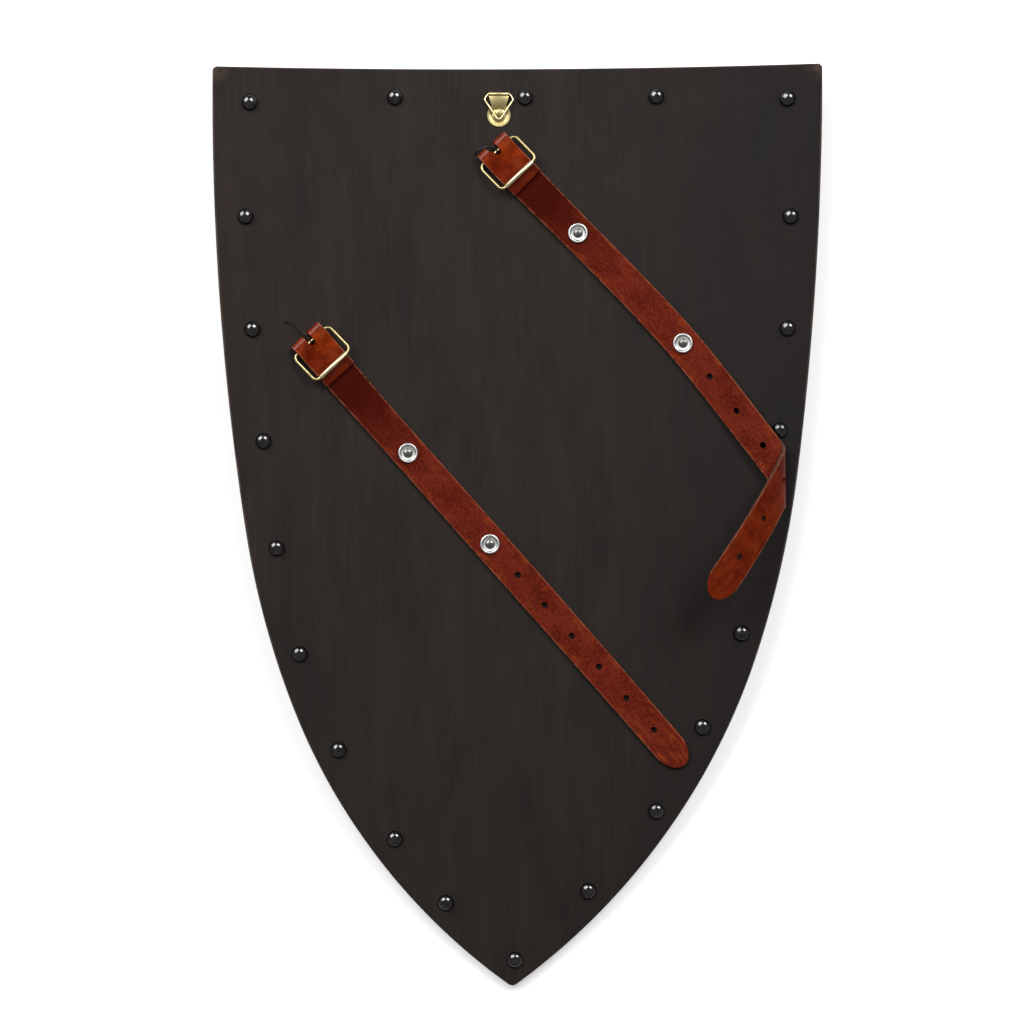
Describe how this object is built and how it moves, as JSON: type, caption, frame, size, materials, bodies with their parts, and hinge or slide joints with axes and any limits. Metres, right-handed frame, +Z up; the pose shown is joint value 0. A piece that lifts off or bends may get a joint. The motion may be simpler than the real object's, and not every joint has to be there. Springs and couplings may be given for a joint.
{
  "type": "heater shield",
  "caption": "Wooden heater shield bent about its long axis, lying on its front, with two buckled leather arm straps, a domed nail border and a hanging ring on its hollow back.",
  "frame": {"origin": "on the floor under the middle of the shield's outline", "axes": "+Z up out of the hollow back, +Y towards the straight top edge, +X to the right seen from the back"},
  "size_m": [0.46, 0.6956, 0.068],
  "materials": {
    "wood": "dark stained, satin, worn at the edges",
    "gunmetal": "polished dark steel",
    "leather": "red-brown, flesh side up, smooth side on the turned-over ends",
    "brass": "polished",
    "steel": "bright plated",
    "iron": "dark wire, worn bright in places"
  },
  "bodies": {
    "shield": {"board": "wood", "stud_top_1": "gunmetal", "stud_top_2": "gunmetal", "stud_top_3": "gunmetal", "stud_top_4": "gunmetal", "stud_top_5": "gunmetal", "stud_left_1": "gunmetal", "stud_left_2": "gunmetal", "stud_left_3": "gunmetal", "stud_left_4": "gunmetal", "stud_left_5": "gunmetal", "stud_left_6": "gunmetal", "stud_left_7": "gunmetal", "stud_left_8": "gunmetal", "stud_right_1": "gunmetal", "stud_right_2": "gunmetal", "stud_right_3": "gunmetal", "stud_right_4": "gunmetal", "stud_right_5": "gunmetal", "stud_right_6": "gunmetal", "stud_right_7": "gunmetal", "stud_right_8": "gunmetal", "stud_tip": "gunmetal", "strap_upper": "leather", "strap_lower": "leather", "rivet_upper_1": "steel", "washer_upper_1": "steel", "rivet_upper_2": "steel", "washer_upper_2": "steel", "rivet_lower_1": "steel", "washer_lower_1": "steel", "rivet_lower_2": "steel", "washer_lower_2": "steel", "hanger_plate": "brass", "hanger_screw": "brass"},
    "frame_upper": {"buckle_frame_upper": "brass"},
    "roller_upper": {"buckle_roller_upper": "brass"},
    "prong_upper": {"buckle_prong_upper": "iron"},
    "frame_lower": {"buckle_frame_lower": "brass"},
    "roller_lower": {"buckle_roller_lower": "brass"},
    "prong_lower": {"buckle_prong_lower": "iron"},
    "ring": {"hanger_ring": "brass"}
  },
  "joints": [
    {"name": "frame_upper_swing", "type": "hinge", "parent": "shield", "child": "frame_upper", "pos_m": [-0.01544, 0.28384, 0.01424], "axis": [-0.7248, -0.6889, 0.0106], "range_deg": [0, 160]},
    {"name": "roller_upper_spin", "type": "hinge", "parent": "frame_upper", "child": "roller_upper", "pos_m": [0.00147, 0.26611, 0.01815], "axis": [0.7248, 0.6889, -0.0106], "continuous": true},
    {"name": "prong_upper_swing", "type": "hinge", "parent": "shield", "child": "prong_upper", "pos_m": [-0.01544, 0.28384, 0.01424], "axis": [0.7248, 0.6889, -0.0106], "range_deg": [0, 85]},
    {"name": "frame_lower_swing", "type": "hinge", "parent": "shield", "child": "frame_lower", "pos_m": [-0.15558, 0.13922, 0.02566], "axis": [-0.7189, -0.6868, 0.1071], "range_deg": [0, 160]},
    {"name": "roller_lower_spin", "type": "hinge", "parent": "frame_lower", "child": "roller_lower", "pos_m": [-0.13836, 0.12145, 0.02729], "axis": [0.7189, 0.6868, -0.1071], "continuous": true},
    {"name": "prong_lower_swing", "type": "hinge", "parent": "shield", "child": "prong_lower", "pos_m": [-0.15558, 0.13922, 0.02566], "axis": [0.7189, 0.6868, -0.1071], "range_deg": [0, 85]},
    {"name": "ring_swing", "type": "hinge", "parent": "shield", "child": "ring", "pos_m": [-0.01397, 0.3273, 0.01152], "axis": [-0.9999, 0, 0.0132], "range_deg": [0, 170]}
  ]
}
